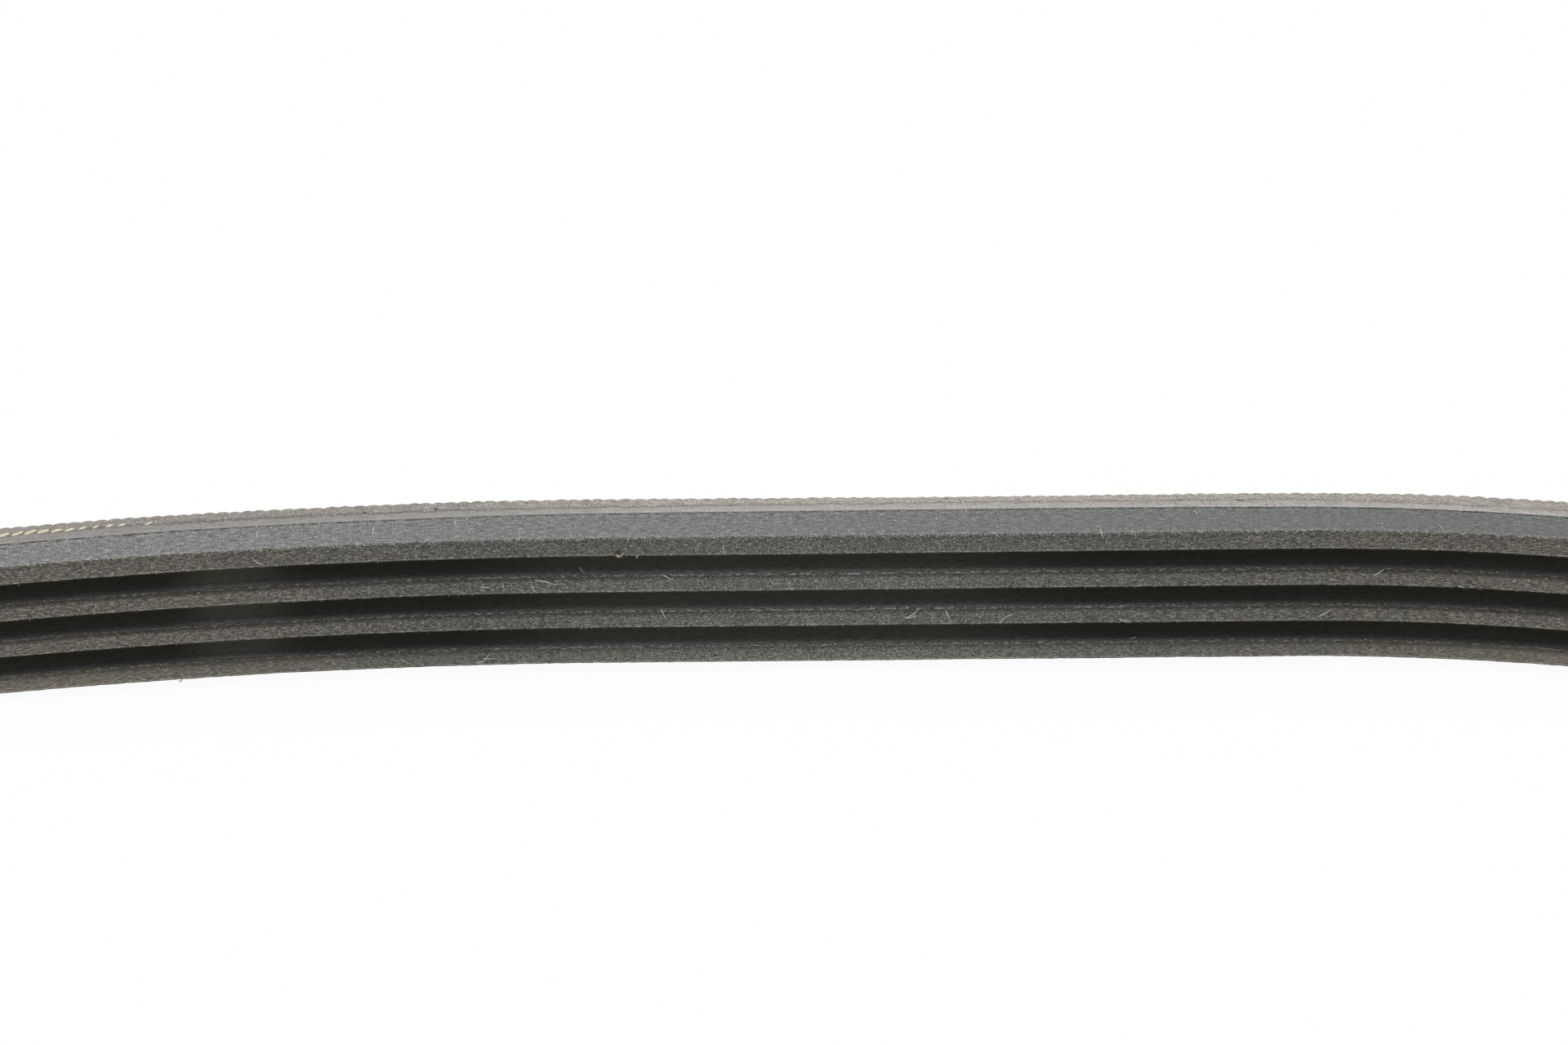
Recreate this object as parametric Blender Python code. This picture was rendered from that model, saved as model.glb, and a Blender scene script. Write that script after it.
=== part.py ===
"""A four-ribbed alternator belt: a closed loop that stands on its cut edge, ribs inwards.

The plies are swept along one loop line, so they meet face to face all the way round.
Lengths are in metres and +Z is up. The origin is under the middle of the loop, on the floor.
"""

import math

import bmesh
import bpy
from mathutils import Vector

# The section. Depths run outwards from the rib tips, and the belt's width runs up Z.
RIB_COUNT = 4
RIB_PITCH = 0.00356
GROOVE_DEPTH = 0.0020
WEB = 0.0005
CUSHION = 0.00095
BACK_COVER = 0.00085
FLANK_ANGLE = math.radians(20)
ROOT_ROUND = 0.00025
TIP_ROUND = 0.00015
BACK_EDGE_ROUND = 0.00015

# The loop line, along the rib tips. Its two halves are alike, and each is four runs.
BELT_LENGTH = 0.870
SOFT_RADIUS = 0.366
SOFT_RUN = 0.062
STRAIGHT_RUN = 0.0552
FIRM_RADIUS = 0.148
FIRM_RUN = 0.032

# The stretch of one cord turn that the cut has laid open, between the cushion and the back.
CORD_DIAMETER = 0.0009
CORD_PROUD = 0.00006
CORD_GAP = 0.00005
CORD_RUN = 0.060
CORD_TO_STRAIGHT = 0.036

# How finely bends and rounded corners are drawn.
FACET_SAG = 0.0001
CORD_SIDES_RESOLUTION = 2
TIP_POINTS = 3
ROOT_POINTS = 5
SHARP_EDGE = math.radians(30)
WELD = 0.000001

# Sizes that follow.
BELT_WIDTH = RIB_COUNT * RIB_PITCH
RIB_RUBBER = GROOVE_DEPTH + WEB
CUSHION_BACK = RIB_RUBBER + CUSHION
BACK = CUSHION_BACK + BACK_COVER
CORD_DEPTH = CUSHION_BACK
CORD_HEIGHT = BELT_WIDTH - CORD_DIAMETER / 2 + CORD_PROUD

COLOURS = {
    "rib_rubber": (0.105, 0.108, 0.112),
    "cushion_rubber": (0.300, 0.285, 0.275),
    "back_cover": (0.240, 0.218, 0.200),
    "tension_cord": (0.760, 0.690, 0.420),
}


def clear_scene():
    """Empties the scene that the belt goes into."""
    for thing in list(bpy.data.objects):
        bpy.data.objects.remove(thing)


def collection(name):
    """A new collection in the scene."""
    made = bpy.data.collections.new(name)
    bpy.context.scene.collection.children.link(made)
    return made


def material(name):
    """The matt surface of one ply."""
    made = bpy.data.materials.new(name)
    made.use_nodes = True
    shader = made.node_tree.nodes["Principled BSDF"]
    shader.inputs["Base Color"].default_value = (*COLOURS[name], 1.0)
    shader.inputs["Roughness"].default_value = 0.8
    shader.inputs["Metallic"].default_value = 0.0
    return made


# The loop line


def half_loop():
    """The runs of half the loop line, each as its length and its curvature."""
    half = BELT_LENGTH / 2 - math.pi * CORD_DEPTH
    end_run = half - SOFT_RUN - STRAIGHT_RUN - FIRM_RUN
    end_turn = math.pi - SOFT_RUN / SOFT_RADIUS - FIRM_RUN / FIRM_RADIUS
    return [
        (SOFT_RUN, 1 / SOFT_RADIUS),
        (STRAIGHT_RUN, 0.0),
        (FIRM_RUN, 1 / FIRM_RADIUS),
        (end_run, end_turn / end_run),
    ]


def walk(place, heading, length, curvature):
    """The place and heading at the end of a run that bends to the right."""
    turn = length * curvature
    if not turn:
        return place + length * Vector((math.cos(heading), math.sin(heading))), heading
    across = math.sin(heading) - math.sin(heading - turn)
    along = math.cos(heading - turn) - math.cos(heading)
    return place + Vector((across, along)) / curvature, heading - turn


def loop_start():
    """Where the loop line starts, so that the middle of the loop is at the origin."""
    first_heading = SOFT_RUN / SOFT_RADIUS
    place = Vector((0.0, 0.0))
    heading = first_heading
    for length, curvature in half_loop():
        place, heading = walk(place, heading, length, curvature)
    return -place / 2, first_heading


def beside_loop(distance, depth, height):
    """The point at a distance along the loop line, a depth outwards from it and a height up."""
    place, heading = loop_start()
    runs = half_loop() * 2
    left = distance % sum(length for length, curvature in runs)
    for length, curvature in runs:
        step = min(left, length)
        place, heading = walk(place, heading, step, curvature)
        left -= step
        if not left:
            break
    outwards = Vector((-math.sin(heading), math.cos(heading)))
    return (*(place + depth * outwards), height)


def cord_ends():
    """Distances along the loop line of the open cord's two ends."""
    end = SOFT_RUN - CORD_TO_STRAIGHT
    return end - CORD_RUN, end


def loop_stations():
    """Distances along the loop line whose chords stay within FACET_SAG of its bends.

    The open cord's ends are stations too, so that its chords are those of the plies.
    """
    stations = []
    start = 0.0
    for length, curvature in half_loop() * 2:
        count = max(1, math.ceil(length * math.sqrt(curvature / (8 * FACET_SAG))))
        stations += [start + length * index / count for index in range(count)]
        start += length
    return sorted(stations + [end % start for end in cord_ends()])


def cord_stations(margin):
    """The open cord's ends, moved out by a margin, and the loop stations between them."""
    start, end = cord_ends()
    loop_line = sum(length for length, curvature in half_loop() * 2)
    stations = loop_stations()
    unrolled = [station - loop_line for station in stations] + stations
    between = [station for station in unrolled if start + WELD < station < end - WELD]
    return [start - margin, *between, end + margin]


# The section


def rounded(corners):
    """An outline whose (depth, height, radius, points) corners are drawn as arcs."""
    outline = []
    for index, (depth, height, radius, points) in enumerate(corners):
        corner = Vector((depth, height))
        if points == 1:
            outline.append(corner)
            continue
        back = (Vector(corners[index - 1][:2]) - corner).normalized()
        onward = (Vector(corners[(index + 1) % len(corners)][:2]) - corner).normalized()
        half_angle = back.angle(onward) / 2
        centre = corner + (back + onward).normalized() * radius / math.sin(half_angle)
        first = (corner + back * radius / math.tan(half_angle) - centre).normalized()
        last = (corner + onward * radius / math.tan(half_angle) - centre).normalized()
        for step in range(points):
            outline.append(centre + radius * first.slerp(last, step / (points - 1)))
    return outline


def rib_rubber_outline():
    """Ribs with 40 degree grooves between them, on a thin web of the same rubber."""
    slope = math.tan(FLANK_ANGLE)
    groove_point = GROOVE_DEPTH + ROOT_ROUND * (1 / math.sin(FLANK_ANGLE) - 1)
    half_mouth = groove_point * slope
    end_flank = RIB_RUBBER * slope
    corners = [(RIB_RUBBER, 0.0, 0.0, 1)]
    for rib in range(RIB_COUNT):
        low = rib * RIB_PITCH
        high = low + RIB_PITCH
        first = rib == 0
        last = rib == RIB_COUNT - 1
        corners.append((0.0, low + (end_flank if first else half_mouth), TIP_ROUND, TIP_POINTS))
        corners.append((0.0, high - (end_flank if last else half_mouth), TIP_ROUND, TIP_POINTS))
        if not last:
            corners.append((groove_point, high, ROOT_ROUND, ROOT_POINTS))
    corners.append((RIB_RUBBER, BELT_WIDTH, 0.0, 1))
    return rounded(corners)


def cushion_outline():
    """The flat adhesion layer that holds the cord."""
    return rounded(
        [
            (CUSHION_BACK, 0.0, 0.0, 1),
            (RIB_RUBBER, 0.0, 0.0, 1),
            (RIB_RUBBER, BELT_WIDTH, 0.0, 1),
            (CUSHION_BACK, BELT_WIDTH, 0.0, 1),
        ]
    )


def back_cover_outline():
    """The fabric-faced back, with its outer corners rubbed round."""
    return rounded(
        [
            (BACK, 0.0, BACK_EDGE_ROUND, TIP_POINTS),
            (CUSHION_BACK, 0.0, 0.0, 1),
            (CUSHION_BACK, BELT_WIDTH, 0.0, 1),
            (BACK, BELT_WIDTH, BACK_EDGE_ROUND, TIP_POINTS),
        ]
    )


# The solids


def poly_curve(name, points, dimensions, cyclic):
    """A curve of straight segments through the points."""
    curve = bpy.data.curves.new(name, "CURVE")
    curve.dimensions = dimensions
    curve.twist_mode = "Z_UP"
    spline = curve.splines.new("POLY")
    spline.points.add(len(points) - 1)
    for point, place in zip(spline.points, points):
        point.co = (*place, 1.0)
    spline.use_cyclic_u = cyclic
    return curve


def as_guide(thing, guides):
    """Keeps a section or a cutter out of the belt itself."""
    guides.objects.link(thing)
    thing.hide_render = True
    thing.display_type = "WIRE"
    return thing


def as_mesh(name, curve):
    """An object with the closed mesh that a curve draws."""
    drawn = bpy.data.objects.new(name + "_curve", curve)
    bpy.context.scene.collection.objects.link(drawn)
    depsgraph = bpy.context.evaluated_depsgraph_get()
    mesh = bpy.data.meshes.new_from_object(drawn.evaluated_get(depsgraph))
    made = bpy.data.objects.new(name, mesh)
    made.matrix_world = drawn.matrix_world.copy()
    bpy.data.objects.remove(drawn)
    shape = bmesh.new()
    shape.from_mesh(mesh)
    bmesh.ops.remove_doubles(shape, verts=shape.verts, dist=WELD)
    bmesh.ops.recalc_face_normals(shape, faces=shape.faces)
    shape.to_mesh(mesh)
    shape.free()
    mesh.materials.clear()
    mesh.shade_smooth()
    mesh.set_sharp_from_angle(angle=SHARP_EDGE)
    return made


def ply(name, outline, belt, guides):
    """One ply of the belt, its section swept along the loop line.

    A section's X axis points to the right of the line, into the loop, so depths turn negative.
    """
    section_points = [(-depth, height, 0.0) for depth, height in outline]
    section = poly_curve(name + "_section", section_points, "2D", True)
    line_points = [beside_loop(distance, 0.0, 0.0) for distance in loop_stations()]
    line = poly_curve(name + "_line", line_points, "3D", True)
    line.bevel_mode = "OBJECT"
    line.bevel_object = as_guide(bpy.data.objects.new(name + "_section", section), guides)
    made = as_mesh(name, line)
    made.data.materials.append(material(name))
    belt.objects.link(made)
    return made


def cord_run(name, margin):
    """The open stretch of cord, as a tube with a margin all round it."""
    points = [beside_loop(mark, CORD_DEPTH, CORD_HEIGHT) for mark in cord_stations(margin)]
    curve = poly_curve(name, points, "3D", False)
    curve.bevel_depth = CORD_DIAMETER / 2 + margin
    curve.bevel_resolution = CORD_SIDES_RESOLUTION
    curve.use_fill_caps = True
    return as_mesh(name, curve)


def build():
    """Makes the plies, the open cord and the channel that the cord lies in."""
    clear_scene()
    belt = collection("alternator_belt")
    guides = collection("guides")
    plies = [
        ply("rib_rubber", rib_rubber_outline(), belt, guides),
        ply("cushion_rubber", cushion_outline(), belt, guides),
        ply("back_cover", back_cover_outline(), belt, guides),
    ]
    cord = cord_run("tension_cord", 0.0)
    cord.data.materials.append(material("tension_cord"))
    belt.objects.link(cord)
    channel = as_guide(cord_run("cord_channel", CORD_GAP), guides)
    for layer in plies:
        cut = layer.modifiers.new("cord_channel", "BOOLEAN")
        cut.operation = "DIFFERENCE"
        cut.object = channel


build()
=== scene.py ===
"""The looks of a four-ribbed alternator belt that stands on its cut edge.

Lengths are in metres. The map named belt is in millimetres: U runs along the belt, and V
runs round its section.
"""

import math

import bmesh
import bpy
import numpy as np
from mathutils import Matrix, Vector


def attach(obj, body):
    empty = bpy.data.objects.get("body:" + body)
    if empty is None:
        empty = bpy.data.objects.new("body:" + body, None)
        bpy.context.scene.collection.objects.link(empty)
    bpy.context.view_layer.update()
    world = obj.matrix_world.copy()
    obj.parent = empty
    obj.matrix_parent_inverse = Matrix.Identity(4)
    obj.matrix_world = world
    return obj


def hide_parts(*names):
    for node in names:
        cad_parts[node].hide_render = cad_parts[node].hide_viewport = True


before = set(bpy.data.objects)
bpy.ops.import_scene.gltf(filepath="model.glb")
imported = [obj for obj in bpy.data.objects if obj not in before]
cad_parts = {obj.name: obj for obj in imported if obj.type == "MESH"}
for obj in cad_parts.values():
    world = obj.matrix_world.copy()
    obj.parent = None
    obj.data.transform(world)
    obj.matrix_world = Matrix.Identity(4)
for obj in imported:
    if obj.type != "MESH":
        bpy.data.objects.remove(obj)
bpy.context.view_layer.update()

# The section and the loop line, as in the model's source, but for slightly sharper tips.
MM = 0.001
RIB_COUNT = 4
RIB_PITCH = 3.56 * MM
GROOVE_DEPTH = 2.0 * MM
WEB = 0.5 * MM
CUSHION = 0.95 * MM
BACK_COVER = 0.85 * MM
FLANK_ANGLE = math.radians(20)
ROOT_ROUND = 0.25 * MM
TIP_ROUND = 0.14 * MM
BACK_EDGE_ROUND = 0.15 * MM
BELT_LENGTH = 870 * MM
SOFT_RADIUS = 366 * MM
SOFT_RUN = 62 * MM
STRAIGHT_RUN = 55.2 * MM
FIRM_RADIUS = 148 * MM
FIRM_RUN = 32 * MM
CORD_DIAMETER = 0.9 * MM
CORD_RUN = 60 * MM
CORD_TO_STRAIGHT = 36 * MM

BELT_WIDTH = RIB_COUNT * RIB_PITCH
RIB_RUBBER = GROOVE_DEPTH + WEB
CUSHION_BACK = RIB_RUBBER + CUSHION
BACK = CUSHION_BACK + BACK_COVER
LOOP_LINE = BELT_LENGTH - 2 * math.pi * CUSHION_BACK
GROOVE_POINT = GROOVE_DEPTH + ROOT_ROUND * (1 / math.sin(FLANK_ANGLE) - 1)
HALF_MOUTH = GROOVE_POINT * math.tan(FLANK_ANGLE)
END_FLANK = RIB_RUBBER * math.tan(FLANK_ANGLE)

# The stretch of the loop line that the camera sees, how loose fibres thicken towards its
# middle and thin out again, and how finely each stretch is drawn.
SEEN = (1.0 * MM, 151.0 * MM)
MIDDLE_RISE = (8 * MM, 50 * MM)
MIDDLE_FALL = (108 * MM, 142 * MM)
SEEN_STEP = 0.25 * MM
REST_STEP = 1.4 * MM

# Rows of the map named OFBake: how many hold each stretch, and their heights.
SEEN_ROWS = (2, 0.22)
REST_ROWS = (4, 0.14)
ROW_MARGIN = 0.01

# The longest straight stretch between two points of each section. Across the plain width of
# the back only one point in BACK_KEPT is kept.
RIB_STRETCH = 0.6 * MM
CUSHION_STRETCH = 0.12 * MM
BACK_STRETCH = 0.16 * MM
BACK_KEPT = 16

# The back's ripples and the roundings of the plies' corners where they meet.
RIPPLE = 1.09 * MM
RIPPLE_HEIGHT = 0.155 * MM
RIPPLE_BASE = 0.35
CREASE = 0.07 * MM
CUT_ROUND = CREASE * 0.7

# The open cord's twist, how far it lies out of line and how finely it is drawn. Then how far
# the cut edge dips beside it, and how far the cord sinks under the edge at its ends.
CORD_LAY = 3.15 * MM
CORD_FLATNESS = 0.8
CORD_PROUD = 0.048 * MM
CORD_OUT = 0.10 * MM
CORD_SIDES = 10
CORD_STEP = 0.12 * MM
EDGE_DIP = 0.05 * MM
CORD_SINK_LEFT = 0.16 * MM
CORD_SINK_RIGHT = 0.078 * MM
CORD_SINK_UNEVEN = 0.04 * MM

# Unevenness of the surfaces, as waves: height, length along the belt and across it in
# millimetres, and seed.
ROUGH_RIBS = [(0.010, 0.5, 0.4, 1), (0.020, 6.0, 1.2, 2)]
ROUGH_TIPS = [(0.016, 0.28, 0.25, 3)]
ROUGH_CORNERS = [(0.030, 0.55, 2.0, 4)]
ROUGH_CUSHION = [(0.006, 0.7, 0.25, 21), (0.012, 7.0, 0.6, 22)]
ROUGH_BACK = [(0.010, 0.5, 0.3, 41), (0.012, 1.4, 0.5, 42)]

# How far the tips' and their corners' unevenness reaches, and how deep fibres are rooted.
TIP_REACH = 0.12 * MM
CORNER_REACH = 0.16 * MM
ROOT_DEPTH = 0.02 * MM

# Fibres of four kinds, as ranges: lift off the surface, bend, length and width in
# millimetres, and paleness.
FELT = ((0.03, 0.35), 0.7, (0.12, 0.4), (0.035, 0.065), (0, 1))
TOP_RIM = ((0.06, 0.72), 0.6, (0.1, 0.3), (0.045, 0.08), (0, 1))
UPPER_RIM = ((0.025, 0.3), 0.6, (0.12, 0.36), (0.036, 0.064), (0, 1))
LOWER_RIM = ((0.0, 0.4), 0.6, (0.08, 0.24), (0.04, 0.07), (0.2, 1))

# How many fibres each rib's tip and its edges start from, before they are thinned out.
FELT_COUNT = 3600
TOP_RIM_COUNT = 3200
UPPER_RIM_COUNT = 2000
LOWER_RIM_COUNT = 500
LOWEST_RIM_COUNT = 40

# How far the plies stray inwards at the upper cut edge, in millimetres: distance along the
# belt, then the stray at the cushion's inner line, at the line behind it and at the back.
EDGE_STRAY = [
    (-20.0, 0.0, 0.0, 0.0),
    (10.0, 0.38, 0.05, -0.12),
    (26.0, 0.30, 0.00, -0.30),
    (36.0, 0.29, 0.17, -0.17),
    (46.0, 0.27, 0.17, -0.24),
    (54.0, 0.14, 0.16, -0.24),
    (62.0, 0.08, 0.18, -0.21),
    (70.0, 0.08, 0.07, -0.14),
    (85.0, 0.05, 0.00, -0.02),
    (100.0, 0.05, 0.05, 0.03),
    (112.0, 0.15, 0.03, -0.03),
    (119.0, 0.27, 0.18, 0.05),
    (126.0, 0.38, 0.50, 0.05),
    (132.6, 0.45, 0.56, 0.10),
    (137.3, 0.52, 0.65, 0.13),
    (151.0, 0.52, 0.65, 0.13),
    (175.0, 0.0, 0.0, 0.0),
]

# How much of that goes inwards and how much down.
STRAY_IN = 0.6
STRAY_DOWN = 0.27

# The camera, placed from the strand's edges in the photograph.
CAMERA_PLACE = (16.10 * MM, -144.83 * MM, 180.69 * MM)
CAMERA_DOWN = math.radians(33.862)
CAMERA_TURN = math.radians(2.697)
CAMERA_ROLL = math.radians(-2.148)
LENS = 85
SENSOR = 36
NEAREST = 0.01

# The light.
WHITE = (1.0, 1.0, 1.0, 1.0)
WORLD_LEVEL = 0.12
FLOOR_COLOUR = (0.85, 0.85, 0.85, 1.0)
FLOOR_GLOW = 0.95
FLOOR_REACH = 3.0
SOFTBOX_PLACE = (0.0, 0.12, 1.0)
SOFTBOX_AIM = (0.0, 0.1, 0.0)
SOFTBOX_SIZE = 1.1
SOFTBOX_POWER = 13.0

# Groups of faces on the ribs.
TIP, GROOVE, FLANK = range(3)

# Dark nicks in the upper cut edge: distance along the belt, depth, half length, half width
# and how dark, from 0 to 1.
NICKS = [
    (42.65, 3.55, 0.10, 0.14, 0.9),
    (48.43, 3.70, 0.20, 0.09, 0.9),
    (51.50, 3.40, 0.22, 0.08, 0.5),
    (89.80, 3.95, 0.40, 0.14, 0.3),
    (91.00, 3.90, 0.50, 0.16, 0.3),
    (103.30, 3.50, 0.50, 0.12, 0.4),
    (104.50, 3.40, 0.30, 0.10, 0.4),
    (108.80, 3.50, 0.14, 0.12, 0.8),
    (113.60, 3.38, 0.38, 0.13, 1.0),
]

# Stretches with looks of their own, in millimetres: middle along the belt, reach to where
# the look fades out, and reach to where it is full.
SCUFFS = (113.0, 11.0, 7.7)
LIT_GROOVES = (31.5, 6.0, 1.0)
MIDDLE_GROOVES = (75.3, 28.0, 12.0)
DULL_EDGE = (42.0, 28.0, 8.0)
WORN_EDGES = [(150.0, 28.0, 14.0), (17.0, 16.0, 3.0)]
PALE_RIGHT_EDGE = (150.0, 50.0, 12.0)
DULL_LEFT_EDGE = (16.0, 14.5, 4.0)
YELLOW_CORD = (17.0, 5.0, 1.5)

# Where slow swings of tone start along the belt, in millimetres.
DRIFT_START = 9.3

# The display colour of the painted highlights along the tips' upper corners.
CORNER_HIGHLIGHT_TONE = (192, 197, 193)

# Loose hairs on the belt: how pale each is, and its points in millimetres: distance along the
# belt, depth and height. The two at 0.3 lie over grooves, made fainter as painted shade.
HAIRS = [
    (1.0, [(91.0, 4.04, 14.24), (91.18, 3.23, 14.3), (91.59, 1.96, 14.06)]),
    (1.0, [(56.33, 0.0, 9.4), (57.0, -0.01, 9.37), (58.05, 0.01, 8.89)]),
    (1.0, [(55.98, 0.01, 8.97), (56.13, 0.0, 8.7), (56.32, -0.01, 8.2)]),
    (1.0, [(53.65, -0.01, 9.12), (53.73, 0.0, 8.84), (53.8, 0.01, 8.55)]),
    (1.0, [(51.92, 0.0, 8.89), (52.28, 0.0, 8.88), (52.65, 0.0, 8.79)]),
    (0.3, [(60.08, 0.0, 10.63), (60.24, 0.0, 10.31), (60.51, 0.13, 9.81)]),
    (1.0, [(66.49, 0.14, 6.27), (66.68, 0.0, 5.84), (66.9, 0.0, 5.4)]),
    (1.0, [(86.44, 0.02, 5.23), (86.98, 0.01, 5.59), (87.55, 0.01, 6.18)]),
    (1.0, [(86.42, 0.02, 5.23), (86.86, 0.0, 5.33), (87.31, 0.0, 5.42)]),
    (1.0, [(87.14, 0.01, 5.59), (87.19, 0.0, 5.44), (87.25, 0.0, 5.26)]),
    (1.0, [(89.73, 0.0, 5.94), (90.03, -0.01, 5.26), (90.2, 0.01, 4.66)]),
    (1.0, [(94.15, 0.01, 4.71), (94.58, 0.0, 5.25), (94.89, -0.01, 5.46), (95.22, 0.0, 5.56)]),
    (1.0, [(103.84, 0.01, 4.92), (104.33, 0.0, 4.83), (104.55, 0.0, 4.83), (104.8, 0.02, 4.49)]),
    (1.0, [(104.26, 0.01, 4.71), (104.45, 0.01, 4.63), (104.6, 0.0, 4.63)]),
    (0.3, [(104.83, 0.28, 2.74), (105.02, 0.0, 3.05), (105.32, 0.0, 3.15)]),
    (1.0, [(50.89, 0.0, 1.25), (51.51, 0.0, 1.45), (51.84, 0.0, 1.85), (52.15, 0.0, 2.21)]),
    (1.0, [(51.53, -0.01, 1.7), (52.07, 0.0, 1.69), (52.61, 0.01, 1.62)]),
    (1.0, [(92.75, 0.02, 1.49), (92.72, 0.01, 1.21), (92.68, 0.0, 0.92)]),
    (1.0, [(102.21, 0.34, 13.47), (102.31, 0.03, 13.33), (102.46, 0.0, 12.9)]),
    (0.5, [(129.1, 0.92, 13.67), (129.44, 0.4, 13.48), (129.74, 0.03, 13.32)]),
    (0.5, [(130.83, 0.12, 13.37), (131.02, 0.08, 13.35), (131.25, 0.0, 13.2)]),
    (0.5, [(131.87, 0.63, 13.55), (132.13, 0.84, 13.63), (132.6, 0.97, 13.68)]),
    (1.0, [(34.09, 1.81, 13.97), (34.07, 1.45, 13.85), (34.11, 1.07, 13.72)]),
    (1.0, [(33.72, 0.0, 12.5), (34.05, 0.01, 12.18), (34.47, 0.01, 11.91)]),
    (1.0, [(43.51, 1.76, 13.95), (43.44, 1.32, 13.8), (43.4, 0.97, 13.69)]),
    (1.0, [(50.03, 2.03, 14.06), (50.05, 1.83, 13.99), (50.11, 1.56, 13.9)]),
    (1.0, [(75.24, 1.94, 14.04), (75.32, 1.82, 14.0), (75.38, 1.63, 13.93)]),
    (1.0, [(77.7, 0.69, 13.6), (77.73, 0.55, 13.55), (77.8, 0.41, 13.5)]),
    (1.0, [(89.05, 1.64, 13.91), (89.06, 1.5, 13.87), (89.05, 1.4, 13.84)]),
    (1.0, [(64.87, -0.01, 11.77), (64.77, 0.03, 11.59), (64.72, 0.0, 11.44)]),
    (1.0, [(71.8, 0.0, 12.64), (71.85, -0.02, 12.2), (71.95, 0.0, 11.68)]),
    (1.0, [(66.87, 0.02, 9.76), (67.2, 0.0, 9.55), (67.62, 0.0, 9.3)]),
    (1.0, [(109.75, 1.98, 14.05), (109.9, 1.9, 14.03), (109.98, 1.7, 13.95)]),
    (0.9, [(124.35, 0.0, 9.1), (124.7, 0.0, 9.45), (125.1, 0.0, 9.75)]),
    (0.9, [(120.0, 0.0, 4.95), (120.6, 0.0, 5.4), (121.15, 0.0, 5.75)]),
    (0.6, [(70.3, 0.0, 1.35), (70.7, 0.0, 1.5), (71.3, 0.0, 1.5)]),
    (0.7, [(44.7, 0.0, 1.9), (45.1, 0.0, 1.65), (45.6, 0.0, 1.25)]),
]

# Their radius, how high their middles arch and how far they stand clear of the felt, in
# millimetres. Then how much thinner they end, their sides and a direction that none runs in.
HAIR_RADIUS = 0.034
HAIR_RISE = 0.07
HAIR_CLEAR = 0.08
HAIR_TAPER = 0.55
HAIR_SIDES = 5
ANY_WAY = (0.31, -0.87, 0.38)

# Debris, in millimetres as for the hairs: a chip's middle and half sizes, its stray fibre and
# an orange fibre.
CRUMB_PLACE = (63.22, -0.08, 11.81)
CRUMB_SIZE = (0.25, 0.10, 0.32)
CRUMB_FIBRE = [(63.52, -0.05, 11.88), (63.55, -0.08, 11.74), (63.54, -0.05, 11.57)]
ORANGE_FIBRE = [(26.3, -0.02, 0.86), (26.45, -0.05, 0.92), (26.62, -0.02, 1.08)]
ORANGE_RADIUS = 0.05


# The loop line


def loop_runs():
    """The loop line's runs: start distance, curvature, place and heading, as arrays."""
    soft_turn = SOFT_RUN / SOFT_RADIUS
    firm_turn = FIRM_RUN / FIRM_RADIUS
    end_run = LOOP_LINE / 2 - SOFT_RUN - STRAIGHT_RUN - FIRM_RUN
    lengths = [SOFT_RUN, STRAIGHT_RUN, FIRM_RUN, end_run] * 2
    turns = [soft_turn, 0.0, firm_turn, math.pi - soft_turn - firm_turn] * 2
    rows = []
    start = 0.0
    place = np.zeros(2)
    heading = soft_turn
    for length, turn in zip(lengths, turns):
        rows.append((start, turn / length, *place, heading))
        middle = heading - turn / 2
        chord = length * np.sinc(turn / (2 * math.pi))
        place = place + chord * np.array([math.cos(middle), math.sin(middle)])
        heading -= turn
        start += length
    rows = np.array(rows)
    rows[:, 2:4] -= rows[len(lengths) // 2, 2:4] / 2
    return rows


RUNS = loop_runs()


def loop_line(marks):
    """Places and headings of the loop line at distances from its start."""
    marks = np.mod(marks, LOOP_LINE)
    run = RUNS[np.searchsorted(RUNS[:, 0], marks, "right") - 1]
    start, curvature, x, y, heading = np.moveaxis(run, -1, 0)
    turn = (marks - start) * curvature
    chord = (marks - start) * np.sinc(turn / (2 * math.pi))
    middle = heading - turn / 2
    places = np.stack([x + chord * np.cos(middle), y + chord * np.sin(middle)], -1)
    return places, heading - turn


def past_start(marks):
    """Distances from the loop line's start, with the last half of the loop before it."""
    return np.mod(marks + LOOP_LINE / 2, LOOP_LINE) - LOOP_LINE / 2


def strayed(marks, depths, heights):
    """Depths and heights, moved as the plies stray at the upper cut edge."""
    table = np.array(EDGE_STRAY)
    where = past_start(marks) / MM
    lines = [np.interp(where, table[:, 0], table[:, column]) for column in (1, 2, 3)]
    starts = (0.0, RIB_RUBBER, CUSHION_BACK)
    sizes = (RIB_RUBBER, CUSHION, BACK_COVER)
    stray = 0.0
    before = 0.0
    for line, start, size in zip(lines, starts, sizes):
        stray = stray + (line - before) * np.clip((depths - start) / size, 0, 1)
        before = line
    stray = stray * step_up(heights, BELT_WIDTH - 2.4 * MM, BELT_WIDTH - 0.9 * MM) * MM
    return depths - STRAY_IN * stray, heights - STRAY_DOWN * stray


def belt_points(marks, depths, heights):
    """Points at distances along the loop line, depths outwards from it and heights."""
    depths, heights = strayed(marks, depths, heights)
    places, headings = loop_line(marks)
    x = places[..., 0] - np.sin(headings) * depths
    y = places[..., 1] + np.cos(headings) * depths
    return np.stack(np.broadcast_arrays(x, y, heights), -1)


def stations(seen_step, rest_step):
    """Distances along the loop line, closer together where the camera sees the belt."""
    seen = np.arange(SEEN[0], SEEN[1], seen_step)
    rest_length = LOOP_LINE - (SEEN[1] - SEEN[0])
    count = math.ceil(rest_length / rest_step)
    rest = SEEN[1] + rest_length * np.arange(count) / count
    return np.concatenate([seen, rest])


# Random but repeatable unevenness


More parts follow.
